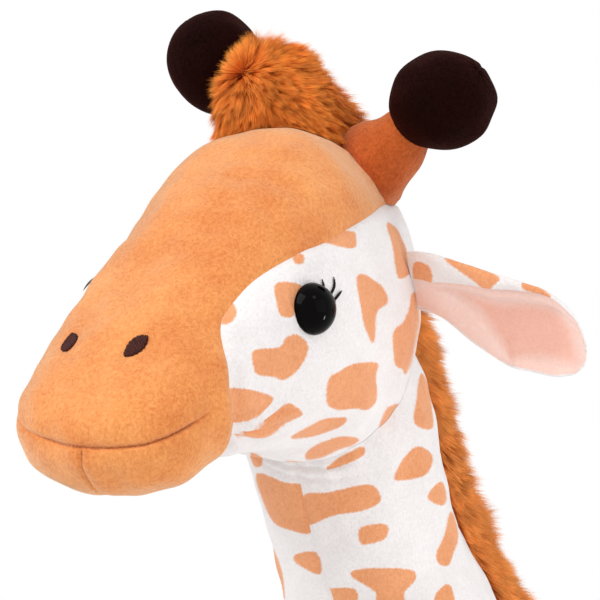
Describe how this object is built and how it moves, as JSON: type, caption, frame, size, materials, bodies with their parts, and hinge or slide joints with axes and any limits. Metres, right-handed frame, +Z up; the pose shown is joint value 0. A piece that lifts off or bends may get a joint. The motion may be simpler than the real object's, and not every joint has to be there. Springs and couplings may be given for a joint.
{
  "type": "stuffed animal",
  "caption": "Standing plush giraffe with a long spotted neck, ball-tipped horns, fur forelock and mane, flopping ears and a hanging tufted tail.",
  "frame": {"origin": "on the floor under the middle of the toy's bounding box, with the four hoof soles at z = 0", "axes": "+Z up, the animal looks along -Y with its head turned a little to its left, and its left side is +X"},
  "size_m": [0.2678, 0.5134, 0.7305],
  "materials": {
    "orange_plush": "short velvety pile",
    "printed_plush": "short velvety pile printed with tan spots",
    "brown_plush": "short velvety pile",
    "horn_plush": "short velvety pile",
    "fur": "long soft pile",
    "ear_lining": "short smooth pile",
    "filling": "loose polyester fibre",
    "embroidery": "satin stitch",
    "eye": "polished",
    "washer": "moulded"
  },
  "bodies": {
    "toy": {"head_stuffing": "filling", "forehead_muzzle_panel": "orange_plush", "chin_panel_left": "orange_plush", "chin_panel_right": "orange_plush", "cheek_panel_left": "printed_plush", "cheek_panel_right": "printed_plush", "eye_left": "eye", "eye_right": "eye", "eye_washer_left": "washer", "eye_washer_right": "washer", "nostril_left": "embroidery", "nostril_right": "embroidery", "lashes_left": "embroidery", "lashes_right": "embroidery", "ossicone_stalk_left": "horn_plush", "ossicone_stalk_right": "horn_plush", "ossicone_ball_left": "brown_plush", "ossicone_ball_right": "brown_plush", "forelock": "fur", "mane": "fur", "neck_stuffing": "filling", "neck_panel_left": "printed_plush", "neck_panel_right": "printed_plush", "body_stuffing": "filling", "body_panel_left": "printed_plush", "body_panel_right": "printed_plush", "belly_panel": "printed_plush", "leg_stuffing_front_left": "filling", "leg_stuffing_front_right": "filling", "leg_stuffing_rear_left": "filling", "leg_stuffing_rear_right": "filling", "leg_cover_front_left": "printed_plush", "leg_cover_front_right": "printed_plush", "leg_cover_rear_left": "printed_plush", "leg_cover_rear_right": "printed_plush", "hoof_cover_front_left": "brown_plush", "hoof_cover_front_right": "brown_plush", "hoof_cover_rear_left": "brown_plush", "hoof_cover_rear_right": "brown_plush", "hoof_sole_front_left": "brown_plush", "hoof_sole_front_right": "brown_plush", "hoof_sole_rear_left": "brown_plush", "hoof_sole_rear_right": "brown_plush"},
    "ear_left": {"ear_outer_left": "printed_plush", "ear_inner_left": "ear_lining"},
    "ear_right": {"ear_outer_right": "printed_plush", "ear_inner_right": "ear_lining"},
    "tail": {"tail": "printed_plush", "tail_tuft": "fur"}
  },
  "joints": [
    {"name": "ear_left_flop", "type": "hinge", "parent": "toy", "child": "ear_left", "pos_m": [0.05613, -0.05857, 0.60476], "axis": [0.1123, -0.4093, 0.9054], "range_deg": [-35, 30], "stiffness_Nm_per_rad": 0.05},
    {"name": "ear_right_flop", "type": "hinge", "parent": "toy", "child": "ear_right", "pos_m": [-0.05089, -0.07744, 0.6095], "axis": [-0.1123, 0.4093, -0.9054], "range_deg": [-35, 30], "stiffness_Nm_per_rad": 0.05},
    {"name": "tail_swing", "type": "hinge", "parent": "toy", "child": "tail", "pos_m": [0.01381, 0.22357, 0.29372], "axis": [1, 0, 0], "range_deg": [0, 80]}
  ]
}
